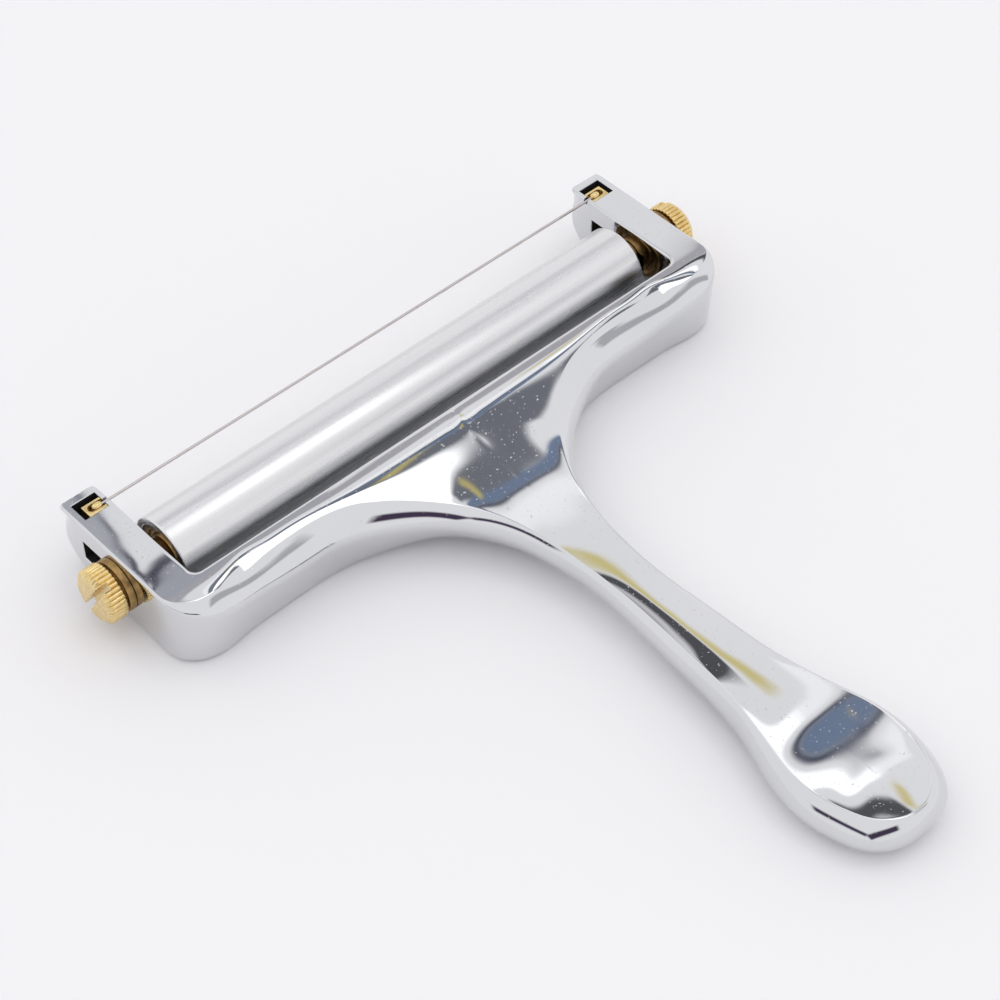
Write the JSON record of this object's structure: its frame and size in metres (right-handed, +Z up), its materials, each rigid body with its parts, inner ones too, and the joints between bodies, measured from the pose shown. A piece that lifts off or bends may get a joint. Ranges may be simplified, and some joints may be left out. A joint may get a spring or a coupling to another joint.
{
  "type": "cheese wire cutter",
  "caption": "Hand cheese slicer: a cast frame with a handle holds a taut wire, and a roller behind it sets the slice's thickness.",
  "frame": {"origin": "on the table, below the centre of the whole object's box", "axes": "+X along the roller, towards the right thumb screw; +Y the way the wire cuts, away from the handle; +Z up"},
  "size_m": [0.1304, 0.1324, 0.0151],
  "materials": {
    "chrome_casting": "polished",
    "stainless_wire": "drawn",
    "roller_aluminium": "satin",
    "steel_axle": "turned",
    "brass": "satin"
  },
  "bodies": {
    "frame": {"frame": "chrome_casting", "cutting_wire": "stainless_wire", "left_wire_anchor": "brass", "right_wire_anchor": "brass", "left_wire_ferrule": "brass", "right_wire_ferrule": "brass"},
    "carriage": {"axle": "steel_axle", "left_hub": "brass", "right_hub": "brass", "left_spacer": "brass", "right_spacer": "brass"},
    "roller": {"roller_tube": "roller_aluminium"},
    "left_washer": {"left_washer": "brass"},
    "right_washer": {"right_washer": "brass"},
    "left_thumb_screw": {"left_thumb_screw": "brass"},
    "right_thumb_screw": {"right_thumb_screw": "brass"}
  },
  "joints": [
    {"name": "thickness_slide", "type": "slide", "parent": "frame", "child": "carriage", "axis": [0, 1, 0], "range_m": [-0.0017, 0.006]},
    {"name": "roller_spin", "type": "hinge", "parent": "carriage", "child": "roller", "pos_m": [0, 0.05055, 0.00814], "axis": [1, 0, 0], "continuous": true},
    {"name": "left_washer_slide", "type": "slide", "parent": "carriage", "child": "left_washer", "axis": [-1, 0, 0], "range_m": [0, 0.0014]},
    {"name": "right_washer_slide", "type": "slide", "parent": "carriage", "child": "right_washer", "axis": [1, 0, 0], "range_m": [0, 0.0014]},
    {"name": "left_screw_turn", "type": "hinge", "parent": "left_washer", "child": "left_thumb_screw", "pos_m": [-0.0613, 0.05055, 0.00814], "axis": [-1, 0, 0], "range_deg": [0, 720]},
    {"name": "right_screw_turn", "type": "hinge", "parent": "right_washer", "child": "right_thumb_screw", "pos_m": [0.0613, 0.05055, 0.00814], "axis": [1, 0, 0], "range_deg": [0, 720]}
  ],
  "couplings": [
    {"joint": "left_screw_turn", "follows": "left_washer_slide", "rad_per_m": 8975.9},
    {"joint": "right_screw_turn", "follows": "right_washer_slide", "rad_per_m": 8975.9}
  ]
}
